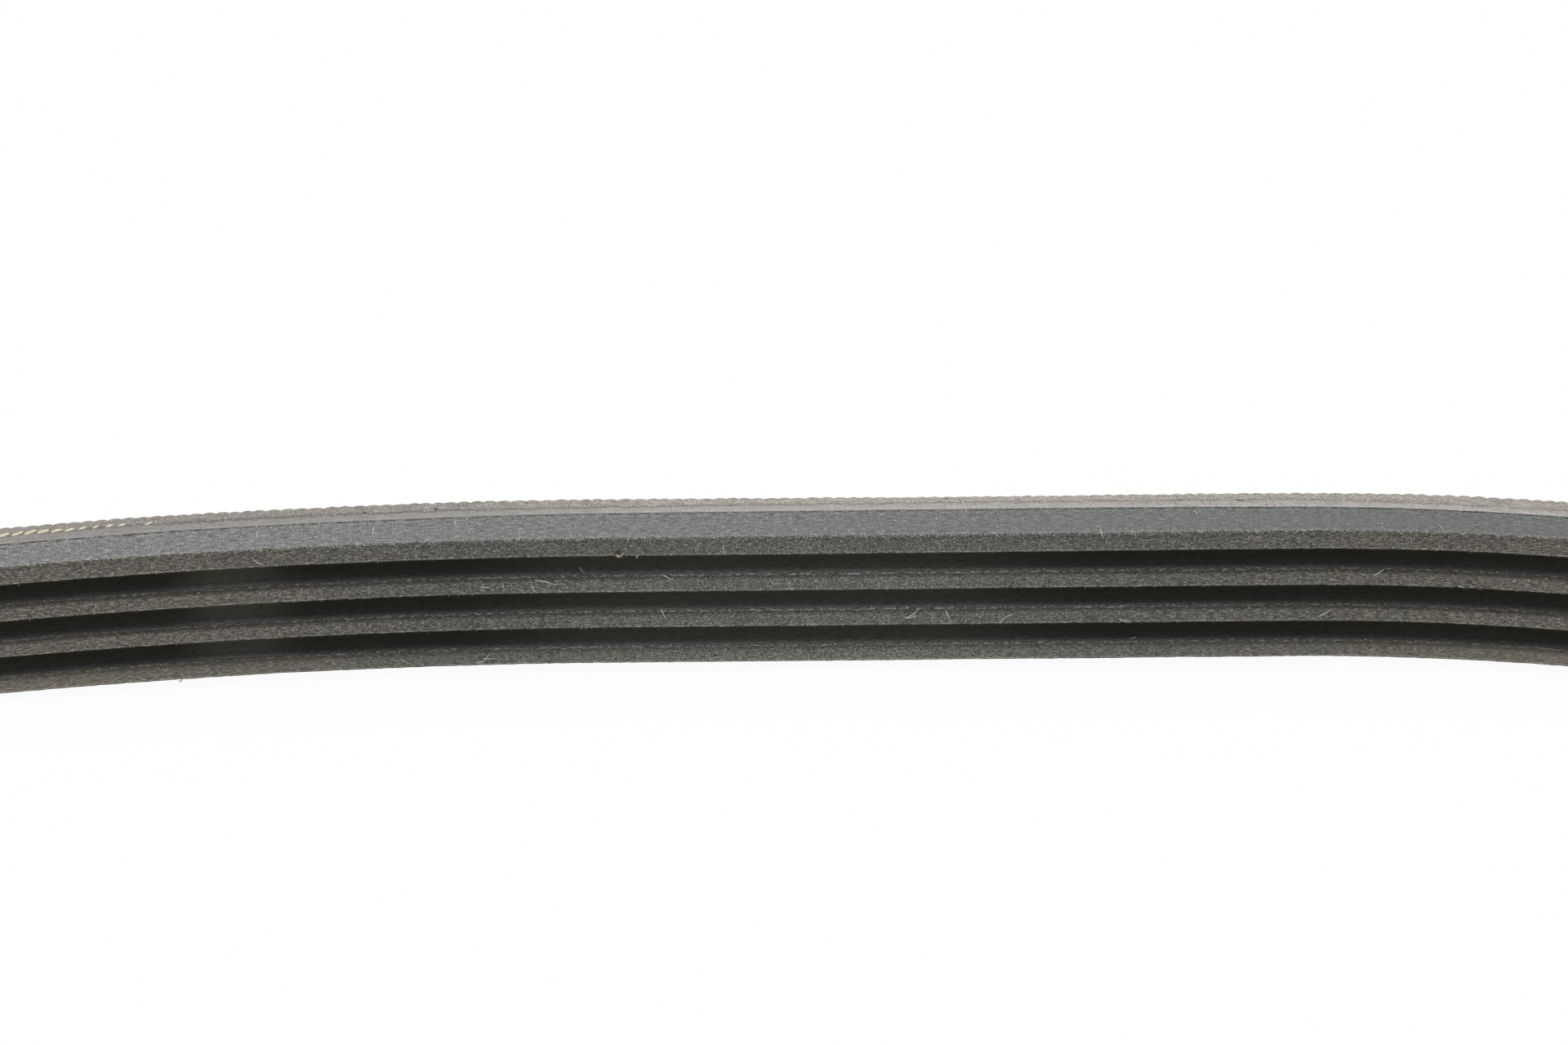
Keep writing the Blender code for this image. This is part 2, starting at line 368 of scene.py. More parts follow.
def unevenness(along, across, seed, size=512):
    """Smooth values from -1 to 1 at points that are given in cells along and across."""
    table = np.random.default_rng(seed).uniform(-1, 1, (size, size))
    along, across = np.broadcast_arrays(along, across)
    column = np.floor(along).astype(int)
    row = np.floor(across).astype(int)
    right = along - column
    down = across - row
    right = right * right * (3 - 2 * right)
    down = down * down * (3 - 2 * down)
    upper = table[column % size, row % size] * (1 - right)
    upper += table[(column + 1) % size, row % size] * right
    lower = table[column % size, (row + 1) % size] * (1 - right)
    lower += table[(column + 1) % size, (row + 1) % size] * right
    return upper * (1 - down) + lower * down


def waves(along, across, rows):
    """A sum of uneven waves at places that are given in millimetres."""
    return sum(h * unevenness(along / a, across / b, seed) for h, a, b, seed in rows)


def step_up(value, low, high):
    """0 below low, 1 above high and a smooth rise between them."""
    share = np.clip((value - low) / (high - low), 0, 1)
    return share * share * (3 - 2 * share)


# Sections and sweeps


def outline(corners, longest):
    """The points of a closed section, and the zone of the stretch after each of them.

    A corner is (depth, height, radius, points, zone): its own zone is that of the straight
    stretch after it, and no straight stretch is longer than longest.
    """
    arcs = []
    for index, (depth, height, radius, points, zone) in enumerate(corners):
        corner = Vector((depth, height))
        if points == 1:
            arcs.append([corner])
            continue
        before = (Vector(corners[index - 1][:2]) - corner).normalized()
        after = (Vector(corners[(index + 1) % len(corners)][:2]) - corner).normalized()
        half = before.angle(after) / 2
        centre = corner + (before + after).normalized() * radius / math.sin(half)
        first = (corner + before * radius / math.tan(half) - centre).normalized()
        last = (corner + after * radius / math.tan(half) - centre).normalized()
        shares = [step / (points - 1) for step in range(points)]
        arcs.append([centre + radius * first.slerp(last, share) for share in shares])
    places = []
    zones = []
    for index, arc in enumerate(arcs):
        zone = corners[index][4]
        round_zone = TIP if TIP in (zone, corners[index - 1][4]) else zone
        places += arc
        zones += [round_zone] * (len(arc) - 1) + [zone]
        onward = arcs[(index + 1) % len(arcs)][0] - arc[-1]
        count = math.ceil(onward.length / longest) if zone is not None else 1
        for step in range(1, count):
            places.append(arc[-1] + onward * step / count)
            zones.append(zone)
    return np.array(places), zones


def outwards_of(section):
    """Unit directions out of a closed section at each of its points."""
    onward = np.roll(section, -1, 0) - np.roll(section, 1, 0)
    normal = np.stack([-onward[:, 1], onward[:, 0]], -1)
    return normal / np.linalg.norm(normal, axis=1, keepdims=True)


def distances_round(section):
    """The distance round a closed section to each of its points, and the whole way round."""
    sides = np.linalg.norm(np.roll(section, -1, 0) - section, axis=1)
    return np.concatenate([[0], sides.cumsum()])


def bake_places(row_marks, marks, rounds):
    """Texture places, in rows along the belt, for points with distances round as shares."""
    seen_count, seen_height = SEEN_ROWS
    rest_count, rest_height = REST_ROWS
    edges = np.linspace(*SEEN, seen_count + 1).tolist()
    edges += np.linspace(SEEN[1], SEEN[0] + LOOP_LINE, rest_count + 1)[1:].tolist()
    heights = np.array([seen_height] * seen_count + [rest_height] * rest_count)
    edges = np.array(edges)
    row = np.clip(np.searchsorted(edges, row_marks, "right") - 1, 0, len(heights) - 1)
    across = (marks - edges[row]) / (edges[row + 1] - edges[row])
    up = np.concatenate([[0], heights.cumsum()])[row] + heights[row] * inset(rounds)
    return np.stack(np.broadcast_arrays(inset(across), up), -1)


def inset(share):
    """A share kept within 0 to 1 and a little way in from both ends."""
    return ROW_MARGIN + (1 - 2 * ROW_MARGIN) * np.clip(share, 0, 1)


def add_map(mesh, name, places):
    """A map with a place for each face corner."""
    layer = mesh.uv_layers.new(name=name)
    layer.uv.foreach_set("vector", places.astype(np.float32).ravel())


def in_scene(name, data):
    """A new object in the scene."""
    made = bpy.data.objects.new(name, data)
    bpy.context.scene.collection.objects.link(made)
    return made


def add_mesh(name, points, faces, materials):
    """A smooth piece that rides on the belt."""
    mesh = bpy.data.meshes.new(name)
    mesh.from_pydata(points.reshape(-1, 3), [], faces)
    mesh.shade_smooth()
    for material in materials:
        mesh.materials.append(material)
    piece = in_scene(name, mesh)
    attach(piece, "root")
    return piece


def tube_faces(first, rows, sides):
    """The walls and the two ends of a tube of rings, where first is its first point."""
    ring = first + np.arange(sides)
    here = ring + np.arange(rows - 1)[:, None] * sides
    beside = np.roll(here, -1, 1)
    walls = np.stack([here, here + sides, beside + sides, beside], -1).reshape(-1, 4)
    return walls.tolist() + [ring.tolist(), (ring[::-1] + (rows - 1) * sides).tolist()]


def sweep(name, marks, section, depths, heights, zones, materials):
    """A ply: its section at every mark, moved to depths and heights, closed into a loop."""
    rows, columns = depths.shape
    row = np.arange(rows)[:, None]
    column = np.arange(columns)[None, :]
    next_row = (row + 1) % rows
    next_column = (column + 1) % columns
    corners = [
        row * columns + column,
        next_row * columns + column,
        next_row * columns + next_column,
        row * columns + next_column,
    ]
    faces = np.stack(corners, -1).reshape(-1, 4)
    points = belt_points(marks[:, None], depths, heights)
    piece = add_mesh(name, points, faces, materials)
    around = distances_round(section)
    onward = np.append(marks, marks[0] + LOOP_LINE)
    u = np.stack([onward[:-1], onward[1:], onward[1:], onward[:-1]], -1)[:, None, :]
    v = np.stack([around[:-1], around[:-1], around[1:], around[1:]], -1)[None, :, :]
    add_map(piece.data, "belt", np.stack(np.broadcast_arrays(u, v), -1) / MM)
    add_map(piece.data, "OFBake", bake_places(marks[:, None, None], u, v / around[-1]))
    zone_row = np.array([zone or 0 for zone in zones], dtype=np.int32)
    piece.data.polygons.foreach_set("material_index", np.tile(zone_row, rows))
    piece.data.update()
    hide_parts(name)


# The plies


def rib_section():
    """The ribs' section, with rounded tips and grooves."""
    corners = [(RIB_RUBBER, 0.0, CREASE, 3, FLANK)]
    for rib in range(RIB_COUNT):
        low = rib * RIB_PITCH
        high = low + RIB_PITCH
        last = rib == RIB_COUNT - 1
        corners.append((0.0, low + (HALF_MOUTH if rib else END_FLANK), TIP_ROUND, 4, TIP))
        if last:
            corners.append((0.0, high - END_FLANK, TIP_ROUND, 4, FLANK))
        else:
            corners.append((0.0, high - HALF_MOUTH, TIP_ROUND, 4, GROOVE))
            corners.append((GROOVE_POINT, high, ROOT_ROUND, 5, GROOVE))
    corners.append((RIB_RUBBER, BELT_WIDTH, CREASE, 3, None))
    return outline(corners, RIB_STRETCH)


def tip_edges(section):
    """Distances round the section to the lower and upper edges of each tip, rib by rib."""
    around = distances_round(section)[:-1]
    flat = section[:, 0] < 0.001 * MM
    rib = section[flat, 1] // RIB_PITCH
    pairs = [around[flat][rib == index] for index in range(RIB_COUNT)]
    return [(pair.min(), pair.max()) for pair in pairs]


def make_ribs(section, zones, materials):
    """The rib rubber, with ground, fibrous surfaces and frayed corners."""
    marks = stations(SEEN_STEP, REST_STEP)
    along = marks[:, None] / MM
    rounds = distances_round(section)[:-1]
    around = rounds[None, :] / MM
    corner = np.zeros(len(section))
    for low, high in tip_edges(section):
        corner += np.exp(-(((rounds - low) / CORNER_REACH) ** 2))
        corner += 0.5 * np.exp(-(((rounds - high) / CORNER_REACH) ** 2))
    tipness = np.exp(-section[:, 0] / TIP_REACH)
    bulge = waves(along, around, ROUGH_RIBS)
    bulge = bulge + tipness * waves(along, around, ROUGH_TIPS)
    bulge = bulge + corner * waves(along, around, ROUGH_CORNERS)
    bulge = np.where(section[:, 0] < RIB_RUBBER - CREASE * 1.5, bulge, 0) * MM
    moved = section + bulge[..., None] * outwards_of(section)
    sweep("rib_rubber", marks, section, moved[..., 0], moved[..., 1], zones, materials)


def ripple_phase(along):
    """How many of the back's ripples lie before a point, in millimetres along the belt."""
    return along / (RIPPLE / MM) + 0.22 * unevenness(along / 3.1, 0, 31)


def ply_line(along):
    """How far the line between the cushion and the back cover strays, in metres."""
    wave = np.cos(2 * math.pi * ripple_phase(along))
    return (0.03 * wave + 0.05 * unevenness(along / 2.3, 0, 12)) * MM


def edge_heights(marks, section, depths, rough, cut_back, dip_reach):
    """Heights of a ply's points, with rough cut edges that dip beside the open cord."""
    across = section[:, 1] - BELT_WIDTH / 2
    on_edge = BELT_WIDTH / 2 - np.abs(across) < 0.2 * MM
    edge = np.sign(across) * on_edge
    bumps = waves(marks[:, None] / MM, section[:, 0] / MM, rough) - cut_back
    dip = cord_dip(marks)[:, None] * np.exp(-(((depths - CUSHION_BACK) / dip_reach) ** 2))
    return section[:, 1] + edge * bumps * MM - step_up(edge, 0, 1) * dip


def make_cushion(materials):
    """The cushion rubber, with a knife-cut edge that dips beside the open cord."""
    corners = [
        (CUSHION_BACK, 0.0, CUT_ROUND, 3, 0),
        (RIB_RUBBER, 0.0, CUT_ROUND, 3, None),
        (RIB_RUBBER, BELT_WIDTH, CUT_ROUND, 3, 0),
        (CUSHION_BACK, BELT_WIDTH, CUT_ROUND, 3, None),
    ]
    section, zones = outline(corners, CUSHION_STRETCH)
    marks = stations(SEEN_STEP, REST_STEP)
    along = marks[:, None] / MM
    depths = np.repeat(section[None, :, 0], len(marks), 0)
    stray = step_up(depths, RIB_RUBBER + 0.3 * CUSHION, CUSHION_BACK - CREASE)
    depths = depths + stray * ply_line(along)
    heights = edge_heights(marks, section, depths, ROUGH_CUSHION, 0.02, 0.34 * MM)
    sweep("cushion_rubber", marks, section, depths, heights, zones, materials)


def ripple(along):
    """The back's ripples: rounded bumps with narrow valleys, uneven in size and spacing."""
    bump = np.abs(np.sin(math.pi * ripple_phase(along))) ** 0.8
    size = 1 + 0.35 * unevenness(along / 1.3, 0, 32)
    return (bump * size - RIPPLE_BASE) * RIPPLE_HEIGHT


def make_back(materials):
    """The back cover, with ripples across its back that show along its outer edge."""
    corners = [
        (BACK, 0.0, BACK_EDGE_ROUND, 4, 0),
        (CUSHION_BACK, 0.0, CUT_ROUND, 3, None),
        (CUSHION_BACK, BELT_WIDTH, CUT_ROUND, 3, 0),
        (BACK, BELT_WIDTH, BACK_EDGE_ROUND, 4, 1),
    ]
    section, zones = outline(corners, BACK_STRETCH)
    keep = ~thin_out(section)
    section = section[keep]
    zones = [zone for zone, kept in zip(zones, keep) if kept]
    marks = stations(RIPPLE / 6, RIPPLE / 4)
    along = marks[:, None] / MM
    outer = step_up(section[:, 0], CUSHION_BACK + 0.25 * BACK_COVER, BACK)[None, :]
    inner = 1 - step_up(section[:, 0], CUSHION_BACK + CREASE, CUSHION_BACK + 0.5 * BACK_COVER)
    depths = section[None, :, 0] + outer * ripple(along) + inner[None, :] * ply_line(along)
    heights = edge_heights(marks, section, depths, ROUGH_BACK, 0.03, 0.3 * MM)
    sweep("back_cover", marks, section, depths, heights, zones, materials)


def thin_out(section):
    """Marks most of the points across the plain width of the back."""
    back_face = section[:, 0] > BACK - 0.1 * BACK_EDGE_ROUND
    far_from_edges = np.abs(section[:, 1] - BELT_WIDTH / 2) < BELT_WIDTH / 2 - 0.4 * MM
    return back_face & far_from_edges & (np.cumsum(back_face) % BACK_KEPT != 0)


# The open cord


def cord_ends():
    """Distances along the loop line of the open cord's two ends."""
    end = SOFT_RUN - CORD_TO_STRAIGHT
    return end - CORD_RUN, end


def cord_dip(marks):
    """How far the cut edge dips beside the open cord."""
    start, end = cord_ends()
    where = past_start(marks)
    shown = step_up(where, start, start + 6 * MM) * (1 - step_up(where, end - 8 * MM, end))
    return EDGE_DIP * shown


def make_cord(material):
    """The open cord: three twisted strands that sink under the edge at both ends."""
    start, end = cord_ends()
    sides = CORD_SIDES
    marks = np.arange(start, end, CORD_STEP)
    strand_radius = CORD_DIAMETER / 2 / (1 + 2 / math.sqrt(3))
    arm = CORD_DIAMETER / 2 - strand_radius
    sink = CORD_SINK_LEFT * (1 - step_up(marks, start, start + 8 * MM))
    sink = sink + CORD_SINK_RIGHT * step_up(marks, end - 13 * MM, end + 2 * MM)
    sink = sink + CORD_SINK_UNEVEN * unevenness(marks / (1.2 * MM), 0, 51)
    middle = BELT_WIDTH - CORD_DIAMETER / 2 + CORD_PROUD - sink
    points = []
    faces = []
    for strand in range(3):
        turn = 2 * math.pi * (marks / CORD_LAY + strand / 3)
        depth = CUSHION_BACK + CORD_OUT + ply_line(marks / MM)
        depth = depth + CORD_FLATNESS * arm * np.sin(turn)
        height = middle + arm * np.cos(turn)
        angle = 2 * math.pi * np.arange(sides) / sides
        wide = strand_radius * (1 + 0.06 * unevenness(marks[:, None] / (0.3 * MM), angle, 52))
        depths = depth[:, None] + CORD_FLATNESS * wide * np.sin(angle)
        heights = height[:, None] + wide * np.cos(angle)
        points.append(belt_points(marks[:, None], depths, heights).reshape(-1, 3))
        faces += tube_faces(strand * len(marks) * sides, len(marks), sides)
    piece = add_mesh("tension_cord", np.concatenate(points), faces, [material])
    place = np.tile(np.repeat(marks, sides), 3)
    corners = np.concatenate(faces)
    add_map(piece.data, "belt", np.stack([place[corners], 0 * place[corners]], -1) / MM)
    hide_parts("tension_cord")


# Fibres


# A fibre's faces: its root, its walls and its point, on two rings of three points and one.
FIBRE_FACES = [(0, 1, 2)]
FIBRE_FACES += [(side, 3 + side, 3 + (side + 1) % 3, (side + 1) % 3) for side in range(3)]
FIBRE_FACES += [(3 + side, 6, 3 + (side + 1) % 3) for side in range(3)]


def on_section(section, rounds):
    """Points at distances round a section, with the directions onward and out of it."""
    around = distances_round(section)
    closed = np.vstack([section, section[:1]])
    points = np.stack([np.interp(rounds, around, closed[:, axis]) for axis in (0, 1)], -1)
    side = np.clip(np.searchsorted(around, rounds, "right") - 1, 0, len(section) - 1)
    onward = closed[side + 1] - closed[side]
    onward /= np.linalg.norm(onward, axis=1, keepdims=True)
    return points, onward, np.stack([-onward[:, 1], onward[:, 0]], -1)


def fibres(name, section, hairs, material):
    """Tapered fibres that are rooted in the ribs' surface and bend half way along.

    Each row of hairs is where the root is, along the belt and round the section, the turn
    from the belt's direction, the lift out of the surface, the bend, the length and the
    width, in metres and radians, and the paleness from 0 to 1.
    """
    marks, rounds, turn, lift, bend, length, width, paleness = hairs.T[:, :, None]
    turns = turn + bend * np.array([0, 1])
    lifts = lift * np.array([1, -0.5])
    flat = np.cos(lifts)
    heading = np.stack([flat * np.cos(turns), flat * np.sin(turns), np.sin(lifts)], -1)
    beside = np.stack([-np.sin(turns), np.cos(turns), 0 * turns], -1)
    up = np.cross(heading, beside)
    root = np.full((len(hairs), 1, 3), (0, 0, -ROOT_DEPTH))
    path = np.concatenate([root, root + (heading * length[:, None] / 2).cumsum(1)], 1)
    angle = 2 * math.pi * np.arange(3)[:, None] / 3
    spokes = np.cos(angle) * up[:, :, None] + np.sin(angle) * beside[:, :, None]
    radius = width / 2 * np.array([1, 0.85])
    rings = path[:, :2, None] + spokes * radius[:, :, None, None]
    local = np.concatenate([rings.reshape(-1, 6, 3), path[:, 2:]], 1)
    points, onward, out = on_section(section, hairs[:, 1])
    place = points[:, None] + local[..., 1:2] * onward[:, None] + local[..., 2:] * out[:, None]
    where = marks + local[..., 0]
    placed = belt_points(where, place[..., 0], place[..., 1])
    firsts = range(0, placed.shape[1] * len(hairs), placed.shape[1])
    faces = [tuple(first + corner for corner in face) for first in firsts for face in FIBRE_FACES]
    piece = add_mesh(name, placed, faces, [material])
    corners = [corner for face in FIBRE_FACES for corner in face]
    shares = (rounds + local[..., 1]) / distances_round(section)[-1]
    spots = bake_places(np.broadcast_to(marks, where.shape), where, shares)
    add_map(piece.data, "OFBake", spots[:, corners])
    add_map(piece.data, "strand", np.repeat(paleness, 2 * len(corners), 1))


def scatter(rng, count, fade=8 * MM):
    """Random places along the stretch that the camera sees, fewer towards its ends."""
    marks = rng.uniform(*SEEN, count)
    share = np.minimum(marks - SEEN[0], SEEN[1] - marks) / fade
    return marks[rng.uniform(0, 1, count) < share]


def seen_middle(marks):
    """1 in the middle of the stretch that the camera sees, and 0 towards its ends."""
    return step_up(marks, *MIDDLE_RISE) * (1 - step_up(marks, *MIDDLE_FALL))


def strands(rng, marks, rounds, turn, lifts, bend, lengths, widths, paleness):
    """Rows of fibres of one kind, whose other values are drawn from its ranges."""
    count = len(marks)
    values = [
        marks,
        rounds,
        turn,
        rng.uniform(*lifts, count),
        rng.normal(0, bend, count),
        rng.uniform(*lengths, count) * MM,
        rng.uniform(*widths, count) * MM,
        rng.uniform(*paleness, count),
    ]
    return np.stack(values, -1)


def felt_hairs(edges):
    """Short fibres that lie on the tips, mostly along the belt. Few of them are pale."""
    rng = np.random.default_rng(61)
    rows = []
    for rib, (low, high) in enumerate(edges):
        lower = rib < len(edges) - 1
        marks = scatter(rng, FELT_COUNT, 8 * MM if rib else 40 * MM)
        count = len(marks)
        first = low if rib else low + 0.2 * MM
        share = rng.uniform(0, 1, count) ** (1.7 if lower else 1)
        rounds = first + (high - 0.1 * MM - first) * share
        tangled = rng.uniform(0, 1, count) < 0.1 + 0.35 * seen_middle(marks)
        turn = np.where(tangled, rng.uniform(0, math.pi, count), rng.normal(0, 0.3, count))
        turn += math.pi * rng.integers(0, 2, count)
        rows.append(strands(rng, marks, rounds, turn, *FELT))
    hairs = np.concatenate(rows)
    hairs[:, -1] **= 2
    return hairs


def rim_hairs(edges):
    """Frayed fibres along both edges of every tip.

    They stand in all directions on the top rib's upper edge, lie along the other upper edges
    and hang from the lower ones.
    """
    rng = np.random.default_rng(62)
    rows = []
    for rib, (low, high) in enumerate(edges):
        top = rib == len(edges) - 1
        marks = scatter(rng, TOP_RIM_COUNT if top else UPPER_RIM_COUNT)
        everywhere, more = (0.2, 0.7) if top else (0.04, 0.45)
        marks = marks[rng.uniform(0, 1, len(marks)) < everywhere + more * seen_middle(marks)]
        if not top:
            crowd = unevenness(marks / (0.9 * MM), 0, 63 + rib)
            marks = marks[crowd > rng.uniform(-0.8, 0.4, len(marks))]
        count = len(marks)
        if top:
            rounds = high + np.abs(rng.normal(0, 0.2, count)) * MM - 0.06 * MM
            turn = rng.uniform(0, 2 * math.pi, count)
        else:
            rounds = high + rng.normal(0.01, 0.06, count) * MM
            turn = rng.normal(0, 0.25, count)
        rows.append(strands(rng, marks, rounds, turn, *(TOP_RIM if top else UPPER_RIM)))
        marks = scatter(rng, LOWER_RIM_COUNT if rib else LOWEST_RIM_COUNT)
        count = len(marks)
        rounds = low + rng.uniform(-0.04, 0.15, count) * MM
        turn = rng.normal(-math.pi / 2, 1.0, count)
        rows.append(strands(rng, marks, rounds, turn, *LOWER_RIM))
    return np.concatenate(rows)


def smooth_path(points, steps):
    """Points on a curve through the given points, with this many steps between each two."""
    points = np.array(points, float)
    before = np.vstack([2 * points[0] - points[1], points])
    padded = np.vstack([before, 2 * points[-1] - points[-2]])
    path = []
    for p0, p1, p2, p3 in zip(padded, padded[1:], padded[2:], padded[3:]):
        for share in np.arange(steps) / steps:
            bend = (2 * p0 - 5 * p1 + 4 * p2 - p3) * share**2
            twist = (3 * p1 - p0 - 3 * p2 + p3) * share**3
            path.append((2 * p1 + (p2 - p0) * share + bend + twist) / 2)
    return np.array(path + [points[-1]])


def tube(path, radii):
    """The points round a path, for a tube with these radii."""
    onward = np.gradient(path, axis=0)
    onward /= np.linalg.norm(onward, axis=1, keepdims=True)
    beside = np.cross(onward, ANY_WAY)
    beside /= np.linalg.norm(beside, axis=1, keepdims=True)
    up = np.cross(beside, onward)
    angle = 2 * math.pi * np.arange(HAIR_SIDES)[None, :, None] / HAIR_SIDES
    spokes = np.cos(angle) * beside[:, None] + np.sin(angle) * up[:, None]
    return (path[:, None] + spokes * radii[:, None, None]).reshape(-1, 3)


def make_threads(name, threads, radius, material):
    """Loose threads through points on the belt, risen a little clear of it."""
    points = []
    faces = []
    shades = []
    for paleness, thread in threads:
        path = smooth_path(thread, 4)
        share = np.linspace(0, 1, len(path))
        rise = HAIR_RISE * np.sin(math.pi * share) + radius * 0.6
        on_top = path[:, 2] > BELT_WIDTH / MM - 0.8
        path[:, 1] -= np.where(on_top, 0, rise + HAIR_CLEAR)
        path[:, 2] += np.where(on_top, rise, 0)
        placed = belt_points(*(path * MM).T)
        walls = tube_faces(sum(len(group) for group in points), len(path), HAIR_SIDES)
        points.append(tube(placed, radius * MM * (1 - HAIR_TAPER * share**3)))
        faces += walls
        shades += [paleness] * sum(len(shaded_wall) for shaded_wall in walls)
    piece = add_mesh(name, np.concatenate(points), faces, [material])
    add_map(piece.data, "strand", np.repeat(shades, 2))


def make_crumb(materials, stray_material):
    """A chip of debris with a stray fibre, caught on the top rib's lower edge."""
    ball = bmesh.new()
    bmesh.ops.create_icosphere(ball, subdivisions=3, radius=1.0)
    points = np.array([vertex.co for vertex in ball.verts])
    faces = [tuple(vertex.index for vertex in face.verts) for face in ball.faces]
    ball.free()
    rough = 1 + 0.3 * unevenness(points[:, 0] * 2.1 + 7, points[:, 2] * 2.1 + points[:, 1] + 7, 71)
    points *= rough[:, None]
    marks, depths, heights = (points * CRUMB_SIZE + CRUMB_PLACE).T * MM
    placed = belt_points(marks, depths, heights - 0.05 * MM * points[:, 0])
    chip = add_mesh("crumb", placed, faces, materials)
    along, up = (points[faces].mean(1)[:, axis] for axis in (0, 2))
    # The underside of the chip gets painted shade.
    dark = up <= -0.6
    broken = (along > -0.35) & (up < 0.15 - 0.25 * along) & ~dark
    chip.data.polygons.foreach_set("material_index", (broken + 2 * dark).astype(np.int32))
    chip.data.update()
    make_threads("crumb_fibre", [(1.0, CRUMB_FIBRE)], HAIR_RADIUS, stray_material)


# Materials


def tone(red, green, blue):
    """A colour from its display values, 0 to 255."""
    shares = [value / 255 for value in (red, green, blue)]
    linear = [s / 12.92 if s <= 0.04045 else ((s + 0.055) / 1.055) ** 2.4 for s in shares]
    return (*linear, 1.0)


class Nodes:
    """The node tree of a material or a world, with short ways to add to it."""

    def __init__(self, owner):
        owner.use_nodes = True
        self.owner = owner
        self.tree = owner.node_tree

    def add(self, kind, inputs=None, **settings):
        """A node with its settings, and its inputs set or linked."""
        node = self.tree.nodes.new("ShaderNode" + kind)
        for name, value in settings.items():
            setattr(node, name, value)
        for key, value in (inputs or {}).items():
            self.feed(node.inputs[key], value)
        return node

    def feed(self, socket, value):
        """Links a socket to an input, or sets the input to a value."""
        if isinstance(value, bpy.types.NodeSocket):
            self.tree.links.new(value, socket)
        else:
            socket.default_value = value

    def math(self, operation, *values):
        """A function of numbers, taken two at a time."""
        result = values[0]
        for value in values[1:]:
            node = self.add("Math", {0: result, 1: value}, operation=operation)
            result = node.outputs[0]
        return result

    def times(self, *values):
        """A product."""
        return self.math("MULTIPLY", *values)

    def plus(self, *values):
        """A sum."""
        return self.math("ADD", *values)

    def minus(self, first, second):
        """A difference."""
        return self.math("SUBTRACT", first, second)

    def unlit_rays(self):
        """1 for rays from the camera, off gloss and through glass, and 0 for lighting rays."""
        path = self.add("LightPath").outputs
        kinds = ("Is Camera Ray", "Is Glossy Ray", "Is Transmission Ray")
        return self.math("MAXIMUM", *(path[kind] for kind in kinds))

    def show(self, share, first, second, output):
        """Shows a mix of two shaders."""
        mixed = self.add("MixShader", {0: share, 1: first.outputs[0], 2: second.outputs[0]})
        self.feed(self.tree.nodes[output].inputs["Surface"], mixed.outputs[0])


